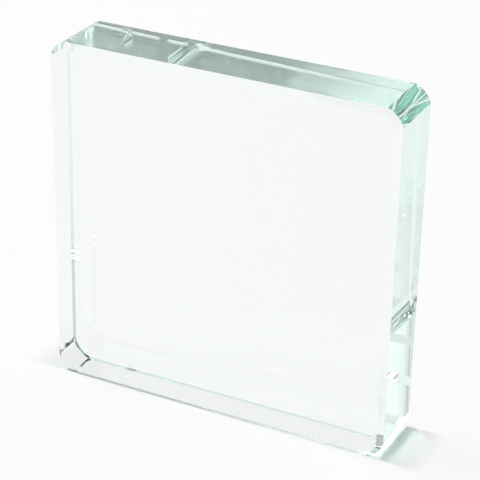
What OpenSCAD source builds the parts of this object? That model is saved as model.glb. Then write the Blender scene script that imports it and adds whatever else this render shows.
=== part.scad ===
// Solid glass block: one cast and polished piece with a square face, four rounded
// corners and a 45 degree bevel ground along the rims of both faces.
// It stands on its lower edge face. X runs across the face, Y through the thickness
// with the front face towards -Y, and Z up. The origin is the middle of the resting face.

/* [Block] */
// Width across the face
face_width = 190; // [100:1:400]
// Height of the face as the block stands
face_height = 190; // [100:1:400]
// Thickness from the front face to the back face
thickness = 40; // [20:0.5:100]

/* [Corners and rims] */
// Distance from where the edge faces would meet to where the rounding of a corner starts
corner_cut = 8.5; // [5:0.5:12]
// Radius of the four rounded corners, which meet the edge faces at a slight crease
corner_radius = 13; // [12:0.5:40]
// Leg of the bevel ground along the rims of both faces
rim_bevel = 2.8; // [0.5:0.1:4]

/* [Hidden] */
// Smoothness of the rounded corners
$fn = 96;
// Pale green of the glass seen along its length
glass_tint = [0.80, 0.92, 0.87];
// Quarter turn, in degrees
quarter_turn = 90;
// How far the tool that rounds a corner runs past the front and back faces
overrun = 1;
// Distance from both edge faces to the centre line of a corner's rounding
corner_inset = (corner_cut + sqrt(2 * pow(corner_radius, 2) - pow(corner_cut, 2))) / 2;

// Rim of the section at a distance from the middle: edge face and both bevels, front to back.
// The bevels run past the faces by a given amount.
function rim(reach, past) = [
    [reach - rim_bevel - past, -thickness / 2 - past],
    [reach, rim_bevel - thickness / 2],
    [reach, thickness / 2 - rim_bevel],
    [reach - rim_bevel - past, thickness / 2 + past],
];

// Section across the whole block: the rim on one side and the same rim turned to the other
module full_section(span) {
    polygon(concat(rim(span / 2, 0), [for (point = rim(span / 2, 0)) -point]));
}

// Half section of a corner's rounding, from its centre line to the rim
module corner_section() {
    reach_past = thickness / 2 + overrun;
    polygon(concat([[0, -reach_past]], rim(corner_radius, overrun), [[0, reach_past]]));
}

// Slab with the bevel along all rims of both faces and its four corners still sharp
module sharp_slab() {
    intersection() {
        rotate([0, quarter_turn, 0])
            linear_extrude(height = face_width, center = true)
                full_section(face_height);
        linear_extrude(height = face_height, center = true)
            full_section(face_width);
    }
}

// Glass that is ground away outside the rounding of one corner
module corner_waste() {
    difference() {
        translate([0, -thickness / 2 - overrun, 0])
            cube([corner_radius + overrun, thickness + 2 * overrun, corner_radius + overrun]);
        rotate([quarter_turn, 0, 0])
            rotate_extrude()
                corner_section();
    }
}

// Places something at the centre lines of all four corners
module at_corners() {
    for (left = [0, 1], low = [0, 1])
        mirror([left, 0, 0])
            mirror([0, 0, low])
                translate([face_width / 2 - corner_inset, 0, face_height / 2 - corner_inset])
                    children();
}

// The whole block, standing with its resting face at height zero
module glass_block() {
    color(glass_tint)
        translate([0, 0, face_height / 2])
            difference() {
                sharp_slab();
                at_corners() corner_waste();
            }
}

glass_block();
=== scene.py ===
"""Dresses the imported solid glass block: clear polished glass on a pale floor in studio light."""

import logging
import math
from dataclasses import dataclass
from enum import Enum
from typing import Any, Union

import bmesh
import bpy
from mathutils import Matrix, Vector


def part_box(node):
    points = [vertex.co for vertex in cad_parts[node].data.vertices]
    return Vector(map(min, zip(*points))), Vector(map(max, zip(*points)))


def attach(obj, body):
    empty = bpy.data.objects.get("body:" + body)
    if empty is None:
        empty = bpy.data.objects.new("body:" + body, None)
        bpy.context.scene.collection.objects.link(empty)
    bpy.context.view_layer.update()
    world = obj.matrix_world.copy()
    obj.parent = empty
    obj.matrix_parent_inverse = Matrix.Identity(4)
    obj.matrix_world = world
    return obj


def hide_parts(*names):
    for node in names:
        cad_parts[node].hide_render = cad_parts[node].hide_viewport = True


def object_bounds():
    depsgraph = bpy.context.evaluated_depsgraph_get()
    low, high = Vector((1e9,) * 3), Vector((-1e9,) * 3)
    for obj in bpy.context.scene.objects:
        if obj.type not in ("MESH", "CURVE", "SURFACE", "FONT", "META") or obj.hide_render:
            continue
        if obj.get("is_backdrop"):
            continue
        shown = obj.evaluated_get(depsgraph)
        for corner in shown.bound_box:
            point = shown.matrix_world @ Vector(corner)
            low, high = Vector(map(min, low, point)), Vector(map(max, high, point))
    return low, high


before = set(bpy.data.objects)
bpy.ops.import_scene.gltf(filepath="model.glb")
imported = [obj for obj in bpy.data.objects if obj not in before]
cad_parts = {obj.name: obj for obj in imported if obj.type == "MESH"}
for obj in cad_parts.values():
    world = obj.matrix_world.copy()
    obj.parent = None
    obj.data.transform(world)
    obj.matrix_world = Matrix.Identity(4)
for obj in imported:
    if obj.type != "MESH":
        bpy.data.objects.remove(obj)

log = logging.getLogger("glass_block")

MM = 0.001
WHITE = (1.0, 1.0, 1.0, 1.0)
QUARTER_TURN = 90.0
EIGHTH_TURN = 45.0
GLASS_BOUNCES = 96
FLOOR_BOUNCES = 4


class Ray(Enum):
    """The kinds of ray that see the floor whiter than it is lit."""

    CAMERA = "Is Camera Ray"
    GLOSSY = "Is Glossy Ray"
    TRANSMISSION = "Is Transmission Ray"


Operand = Union["Signal", float]


class Signal:
    """One output of a node, with arithmetic that adds Math nodes to the same sheet."""

    def __init__(self, sheet: "NodeSheet", socket: bpy.types.NodeSocket) -> None:
        """Keeps the sheet and the output socket."""
        self.sheet = sheet
        self.socket = socket

    def _math(self, operation: str, first: Operand, second: Operand = 0.0) -> "Signal":
        """Adds one Math node for one or two operands."""
        return self.sheet.add("ShaderNodeMath", {"operation": operation}, {0: first, 1: second})

    def __add__(self, other: Operand) -> "Signal":
        """Sum of this value and another."""
        return self._math("ADD", self, other)

    def __radd__(self, other: Operand) -> "Signal":
        """Sum with the number on the left."""
        return self._math("ADD", other, self)

    def __mul__(self, other: Operand) -> "Signal":
        """Product of this value and another."""
        return self._math("MULTIPLY", self, other)

    def __rmul__(self, other: Operand) -> "Signal":
        """Product with the number on the left."""
        return self._math("MULTIPLY", other, self)

    def size(self) -> "Signal":
        """This value without its sign."""
        return self._math("ABSOLUTE", self)

    def at_most(self, limit: float) -> "Signal":
        """This value, or the limit where it is higher."""
        return self._math("MINIMUM", self, limit)

    def at_least(self, limit: Operand) -> "Signal":
        """This value, or the limit where it is lower."""
        return self._math("MAXIMUM", self, limit)


class NodeSheet:
    """An emptied node tree that nodes are added to by type, settings and sockets."""

    def __init__(self, tree: bpy.types.NodeTree) -> None:
        """Empties the tree and keeps it."""
        tree.nodes.clear()
        self.tree = tree

    def add(
        self,
        kind: str,
        settings: dict[str, Any] | None = None,
        sockets: dict[str | int, Any] | None = None,
        output: str | int = 0,
    ) -> Signal:
        """Adds one node.

        Args:
            kind: The node's type name.
            settings: Properties set on the node before its sockets.
            sockets: Input names or numbers, each with a number, a colour or a Signal.
            output: The output that the returned Signal stands for.

        Returns:
            The chosen output, or the node's first input where it has no output.
        """
        node = self.tree.nodes.new(kind)
        for name, value in (settings or {}).items():
            setattr(node, name, value)
        for name, value in (sockets or {}).items():
            if isinstance(value, Signal):
                self.tree.links.new(value.socket, node.inputs[name])
            else:
                node.inputs[name].default_value = value
        return Signal(self, node.outputs[output] if node.outputs else node.inputs[0])

    def ramp(self, value: Signal, span: tuple[float, float], start: float, end: float) -> Signal:
        """Eases from one level to another while a value crosses a span.

        Args:
            value: The value that is followed.
            span: Where the easing starts and ends.
            start: The level before the span.
            end: The level after the span.

        Returns:
            The eased level.
        """
        return self.add(
            "ShaderNodeMapRange",
            {"interpolation_type": "SMOOTHSTEP"},
            {0: value, 1: span[0], 2: span[1], 3: start, 4: end},
        )

    def ray(self, *kinds: Ray) -> Signal:
        """Gives 1 for rays of any of the kinds, else 0.

        Args:
            kinds: The kinds of ray to answer.

        Returns:
            The mask as a value.
        """
        masks = [self.add("ShaderNodeLightPath", output=kind.value) for kind in kinds]
        total = masks[0]
        for mask in masks[1:]:
            total = total + mask
        return total.at_most(1.0)


@dataclass(frozen=True)
class ClearGlass:
    """Polished clear glass with the green of a long way through it."""

    name: str = "clear_glass"
    ior: float = 1.52
    tint: tuple[float, float, float] = (0.9305, 0.9881, 0.9714)
    tint_depth: float = 0.100
    polish: float = 0.0
    haze: float = 0.04
    haze_scale: float = 60.0
    haze_detail: float = 4.0
    haze_span: tuple[float, float] = (0.5, 0.8)
    ripple_height: float = 0.02 * MM
    ripple_scale: float = 25.0
    ripple_detail: float = 1.0

    def material(self) -> bpy.types.Material:
        """Makes the glass, with a faint haze and ripple of its polish.

        Returns:
            The new material.
        """
        made = bpy.data.materials.new(self.name)
        made.use_nodes = True
        sheet = NodeSheet(made.node_tree)
        place = sheet.add("ShaderNodeTexCoord", output="Object")
        cloud = sheet.add(
            "ShaderNodeTexNoise",
            sockets={"Vector": place, "Scale": self.haze_scale, "Detail": self.haze_detail},
        )
        haze = sheet.ramp(cloud, self.haze_span, self.polish, self.haze)
        swell = sheet.add(
            "ShaderNodeTexNoise",
            sockets={"Vector": place, "Scale": self.ripple_scale, "Detail": self.ripple_detail},
        )
        ripple = sheet.add(
            "ShaderNodeBump", sockets={"Distance": self.ripple_height, "Height": swell}
        )
        density, colour = self._absorption()
        surface = sheet.add(
            "ShaderNodeBsdfPrincipled",
            sockets={
                "Base Color": WHITE,
                "Roughness": haze,
                "IOR": self.ior,
                "Transmission Weight": 1.0,
                "Normal": ripple,
            },
        )
        volume = sheet.add(
            "ShaderNodeVolumeAbsorption",
            sockets={"Color": (*colour, 1.0), "Density": density},
        )
        sheet.add("ShaderNodeOutputMaterial", sockets={"Surface": surface, "Volume": volume})
        return made

    def _absorption(self) -> tuple[float, tuple[float, float, float]]:
        """Works out the absorption that leaves the tint after its depth.

        Returns:
            The density, and the colour that one unit of it lets through.
        """
        rates = [-math.log(share) / self.tint_depth for share in self.tint]
        density = max(rates)
        return density, tuple(1.0 - rate / density for rate in rates)


@dataclass
class GlassBlock:
    """The block itself: a square slab with rounded corners and a bevel on both rims."""

    node: str = "glass_block"
    slot: str = "clear_glass"
    corner_cut: float = 8.5 * MM
    corner_radius: float = 13.0 * MM
    rim_bevel: float = 2.8 * MM
    # One step of a rounding is as wide as the bevel's mitre at its crease, so none ends past it
    corner_segments: int = 24
    merge_reach: float = 0.01 * MM
    crease_angle: float = math.radians(4.0)
    flat_limit: float = 0.01
    finish: ClearGlass = ClearGlass()

    def build(self) -> bpy.types.Object:
        """Models and dresses the block in place of its CAD node.

        Returns:
            The finished piece.
        """
        mesh = bpy.data.meshes.new("polished_block")
        shape = self._shape()
        shape.to_mesh(mesh)
        shape.free()
        piece = bpy.data.objects.new("polished_block", mesh)
        bpy.context.scene.collection.objects.link(piece)
        mesh.materials.append(self.finish.material())
        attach(piece, "root")
        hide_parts(self.node)
        return piece

    def _shape(self) -> bmesh.types.BMesh:
        """Draws the face, gives it the thickness and bevels both rims.

        Returns:
            The closed mesh, in the row frame.
        """
        low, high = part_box(self.node)
        shape = bmesh.new()
        bearings = [EIGHTH_TURN + QUARTER_TURN * turn for turn in range(4)]
        arcs = [self._corner_arc(shape, low, high, bearing) for bearing in bearings]
        for arc, following in zip(arcs, arcs[1:] + arcs[:1]):
            bmesh.ops.contextual_create(shape, geom=[arc[-1], following[0]])
        bmesh.ops.contextual_create(shape, geom=shape.edges[:])
        for arc in arcs:
            bmesh.ops.connect_verts(shape, verts=[arc[0], arc[-1]])
        back = bmesh.ops.extrude_face_region(shape, geom=shape.faces[:], use_keep_orig=True)
        moved = [item for item in back["geom"] if isinstance(item, bmesh.types.BMVert)]
        bmesh.ops.translate(shape, vec=(0.0, high.y - low.y, 0.0), verts=moved)
        rims = [edge for edge in shape.edges if self._is_rim(edge)]
        bmesh.ops.bevel(
            shape,
            geom=rims,
            offset=self.rim_bevel,
            offset_type="OFFSET",
            affect="EDGES",
            segments=1,
            profile=0.5,
            material=-1,
        )
        bmesh.ops.remove_doubles(shape, verts=shape.verts, dist=self.merge_reach)
        bmesh.ops.recalc_face_normals(shape, faces=shape.faces)
        for face in shape.faces:
            face.smooth = min(abs(face.normal.x), abs(face.normal.z)) > self.flat_limit
        for edge in shape.edges:
            edge.smooth = edge.calc_face_angle(0.0) < self.crease_angle
        return shape

    def _corner_arc(
        self, shape: bmesh.types.BMesh, low: Vector, high: Vector, bearing: float
    ) -> list[bmesh.types.BMVert]:
        """Spins one point through the rounding of a corner, on the front face.

        Args:
            shape: The mesh that the arc is drawn in.
            low: The block's lowest corner.
            high: The block's highest corner.
            bearing: Degrees from +X towards +Z in which the corner lies.

        Returns:
            The arc's points, in order towards +Z from +X.
        """
        inset = (self.corner_cut + math.sqrt(2 * self.corner_radius**2 - self.corner_cut**2)) / 2
        crease = math.asin((inset - self.corner_cut) / self.corner_radius)
        half_turn = math.radians(EIGHTH_TURN) - crease
        aim = math.radians(bearing)
        centre = Vector(
            (
                high.x - inset if math.cos(aim) > 0 else low.x + inset,
                low.y,
                high.z - inset if math.sin(aim) > 0 else low.z + inset,
            )
        )
        first = aim - half_turn
        start = centre + self.corner_radius * Vector((math.cos(first), 0.0, math.sin(first)))
        point = bmesh.ops.create_vert(shape, co=start)["vert"][0]
        known = set(shape.verts)
        bmesh.ops.spin(
            shape,
            geom=[point],
            cent=centre,
            axis=(0.0, -1.0, 0.0),
            angle=2 * half_turn,
            steps=self.corner_segments,
        )
        spun = [vert for vert in shape.verts if vert not in known]
        return [point] + sorted(spun, key=lambda vert: (vert.co - start).length)

    @staticmethod
    def _is_rim(edge: bmesh.types.BMEdge) -> bool:
        """Says whether an edge lies between the front or back face and an edge face."""
        run = edge.verts[1].co - edge.verts[0].co
        return abs(run.y) < run.length / 2 and edge.calc_face_angle() > math.radians(EIGHTH_TURN)


@dataclass(frozen=True)
class PaleFloor:
    """The pale floor under the block, seen almost white apart from the shadow next to it."""

    size: float = 6.0
    drop: float = 0.15 * MM
    albedo: float = 0.95
    grain: float = 0.02
    grain_scale: float = 400.0
    grain_detail: float = 3.0
    white_share: float = 0.85
    white_in_glass: float = 0.70
    side_fade: float = 25.0 * MM
    overhang: float = 2.8 * MM

    def build(self, reach: Vector) -> bpy.types.Object:
        """Lays the floor just under the block's resting face.

        Args:
            reach: How far the block reaches from the origin along each axis.

        Returns:
            The floor, marked as stage.
        """
        mesh = bpy.data.meshes.new("pale_floor")
        shape = bmesh.new()
        bmesh.ops.create_grid(shape, x_segments=1, y_segments=1, size=self.size / 2)
        bmesh.ops.translate(shape, vec=(0.0, 0.0, -self.drop), verts=shape.verts)
        shape.to_mesh(mesh)
        shape.free()
        floor = bpy.data.objects.new("pale_floor", mesh)
        bpy.context.scene.collection.objects.link(floor)
        mesh.materials.append(self._material(reach))
        floor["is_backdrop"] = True
        return floor

    def _material(self, reach: Vector) -> bpy.types.Material:
        """Makes the floor's matt white, seen as plainer white where it is clear of the block.

        Args:
            reach: How far the block reaches from the origin along each axis.

        Returns:
            The new material.
        """
        made = bpy.data.materials.new("pale_floor")
        made.use_nodes = True
        sheet = NodeSheet(made.node_tree)
        place = sheet.add("ShaderNodeTexCoord", output="Object")
        grain = sheet.add(
            "ShaderNodeTexNoise",
            sockets={"Vector": place, "Scale": self.grain_scale, "Detail": self.grain_detail},
        )
        light = (self.albedo,) * 3 + (1.0,)
        dark = (self.albedo - self.grain,) * 3 + (1.0,)
        shade = sheet.add(
            "ShaderNodeMix", {"data_type": "RGBA"}, {0: grain, 6: light, 7: dark}, output=2
        )
        matt = sheet.add("ShaderNodeBsdfDiffuse", sockets={"Color": shade})
        plain = sheet.add("ShaderNodeEmission", sockets={"Strength": 1.0})
        seen = sheet.ray(Ray.CAMERA) * self.white_share
        shown = sheet.ray(Ray.GLOSSY, Ray.TRANSMISSION) * self.white_in_glass
        share = (seen + shown) * self._clear_of_block(sheet, place, reach)
        floor = sheet.add("ShaderNodeMixShader", sockets={0: share, 1: matt, 2: plain})
        sheet.add("ShaderNodeOutputMaterial", sockets={"Surface": floor})
        return made

    def _clear_of_block(self, sheet: NodeSheet, place: Signal, reach: Vector) -> Signal:
        """Rises from 0 under the block to 1 where the floor is clear of its overhang.

        Args:
            sheet: The floor's node sheet.
            place: The place on the floor.
            reach: How far the block reaches from the origin along each axis.

        Returns:
            The share of the floor that is clear, from 0 to 1.
        """
        across = sheet.add("ShaderNodeSeparateXYZ", sockets={0: place}, output="X")
        along = sheet.add("ShaderNodeSeparateXYZ", sockets={0: place}, output="Y")
        aside = sheet.ramp(across.size(), (reach.x, reach.x + self.side_fade), 0.0, 1.0)
        flat = reach.y - self.overhang
        ahead = sheet.ramp(along.size(), (flat, flat + self.overhang / 2), 0.0, 1.0)
        return aside.at_least(ahead)


@dataclass(frozen=True)
class SoftLamp:
    """One rectangular soft lamp aimed at the block, with its share of the light on the floor."""

    name: str
    azimuth: float
    elevation: float
    length: float
    breadth: float
    level: float
    distance: float = 5.0

    def build(self, aim: Vector) -> bpy.types.Object:
        """Hangs the lamp.

        Args:
            aim: The point that the lamp faces.

        Returns:
            The lamp.
        """
        light = bpy.data.lights.new(self.name, "AREA")
        light.shape = "RECTANGLE"
        light.size = self.length
        light.size_y = self.breadth
        light.energy = self._power()
        lamp = bpy.data.objects.new(self.name, light)
        bpy.context.scene.collection.objects.link(lamp)
        away = direction(self.azimuth, self.elevation)
        lamp.location = aim + away * self.distance
        lamp.rotation_mode = "QUATERNION"
        lamp.rotation_quaternion = away.to_track_quat("Z", "Y")
        return lamp

    def _power(self) -> float:
        """Works out the power that lights level white to the lamp's share of full white.

        Returns:
            The power in watts.
        """
        return self.level * math.pi**2 * self.distance**2 / math.sin(math.radians(self.elevation))


@dataclass(frozen=True)
class Studio:
    """The dim room, the pale backdrop behind the block, and the lamps."""

    ceiling: float = 0.05
    wall: float = 0.30
    wall_top: tuple[float, float] = (0.35, 0.75)
    backdrop: float = 0.88
    backdrop_edge: tuple[float, float] = (0.30, 0.55)
    lamps: tuple[SoftLamp, ...] = (
        SoftLamp("left_strip_high", -90.0, 63.0, length=2.5, breadth=0.16, level=0.320),
        SoftLamp("left_strip_low", -90.0, 52.4, length=2.5, breadth=0.16, level=0.200),
        SoftLamp("left_panel", -70.0, 37.0, length=2.0, breadth=2.2, level=0.020),
        SoftLamp("front_box", -26.0, 42.0, length=3.2, breadth=3.2, level=0.080),
    )

    def build(self, aim: Vector) -> None:
        """Sets up the surroundings and hangs the lamps.

        Args:
            aim: The point that the lamps face.
        """
        world = bpy.data.worlds.new("white_studio")
        world.use_nodes = True
        bpy.context.scene.world = world
        sheet = NodeSheet(world.node_tree)
        bearing = sheet.add("ShaderNodeTexCoord", output="Generated")
        height = sheet.add("ShaderNodeSeparateXYZ", sockets={0: bearing}, output="Z")
        depth = sheet.add("ShaderNodeSeparateXYZ", sockets={0: bearing}, output="Y")
        above = sheet.ramp(height, self.wall_top, 0.0, 1.0)
        behind = sheet.ramp(depth, self.backdrop_edge, 0.0, 1.0)
        walls, top, drape = (
            sheet.add("ShaderNodeBackground", sockets={"Color": WHITE, "Strength": level})
            for level in (self.wall, self.ceiling, self.backdrop)
        )
        room = sheet.add("ShaderNodeMixShader", sockets={0: above, 1: walls, 2: top})
        around = sheet.add("ShaderNodeMixShader", sockets={0: behind, 1: room, 2: drape})
        sheet.add("ShaderNodeOutputWorld", sockets={"Surface": around})
        for lamp in self.lamps:
            lamp.build(aim)


@dataclass(frozen=True)
class PhotoView:
    """The photograph's viewpoint, as fitted to the block's straight edges."""

    azimuth: float = 26.127
    elevation: float = 26.8968
    roll: float = 1.1911
    distance: float = 0.92022
    target: tuple[float, float, float] = (0.00421, 0.0, 0.09428)
    focal_pixels: float = 1812.68
    image_pixels: float = 480.0
    sensor: float = 36.0
    clip: tuple[float, float] = (0.01, 100.0)

    def build(self) -> bpy.types.Object:
        """Places the camera and makes it the scene's own.

        Returns:
            The camera.
        """
        data = bpy.data.cameras.new("photo_view")
        data.sensor_width = self.sensor
        data.lens = self.focal_pixels * self.sensor / self.image_pixels
        data.clip_start, data.clip_end = self.clip
        camera = bpy.data.objects.new("photo_view", data)
        bpy.context.scene.collection.objects.link(camera)
        back = direction(self.azimuth, self.elevation)
        right = Vector((0.0, 0.0, 1.0)).cross(back).normalized()
        up = back.cross(right)
        roll = Matrix.Rotation(math.radians(self.roll), 3, "Z")
        turn = Matrix((right, up, back)).transposed() @ roll
        place = Vector(self.target) + back * self.distance
        camera.matrix_world = Matrix.Translation(place) @ turn.to_4x4()
        bpy.context.scene.camera = camera
        return camera


def direction(azimuth: float, elevation: float) -> Vector:
    """Gives the unit vector from the block towards a bearing.

    Args:
        azimuth: Degrees to the right of the front, seen from above.
        elevation: Degrees above the floor.

    Returns:
        The direction.
    """
    turn, rise = math.radians(azimuth), math.radians(elevation)
    flat = math.cos(rise)
    return Vector((math.sin(turn) * flat, -math.cos(turn) * flat, math.sin(rise)))


def set_up_render() -> None:
    """Keeps colours as written and lets light bounce long enough inside the glass."""
    scene = bpy.context.scene
    scene.view_settings.view_transform = "Standard"
    scene.cycles.max_bounces = GLASS_BOUNCES
    scene.cycles.transmission_bounces = GLASS_BOUNCES
    scene.cycles.glossy_bounces = GLASS_BOUNCES
    scene.cycles.diffuse_bounces = FLOOR_BOUNCES
    scene.cycles.blur_glossy = 0.0
    scene.cycles.use_adaptive_sampling = False
    scene.cycles.sample_clamp_indirect = 0.0


def main() -> None:
    """Builds the block, its floor, its light and the view, and logs the face count, the lamps and
    the camera's place.
    """
    logging.basicConfig(level=logging.INFO, format="%(name)s: %(message)s")
    cad_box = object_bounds()
    middle = (cad_box[0] + cad_box[1]) / 2
    block = GlassBlock().build()
    log.info("%s: %d faces", block.name, len(block.data.polygons))
    floor = PaleFloor().build(cad_box[1])
    log.info("%s laid", floor.name)
    studio = Studio()
    studio.build(middle)
    log.info("studio: %d lamps", len(studio.lamps))
    camera = PhotoView().build()
    log.info("%s at %s", camera.name, tuple(round(x, 4) for x in camera.location))
    set_up_render()


if __name__ == "__main__":
    main()
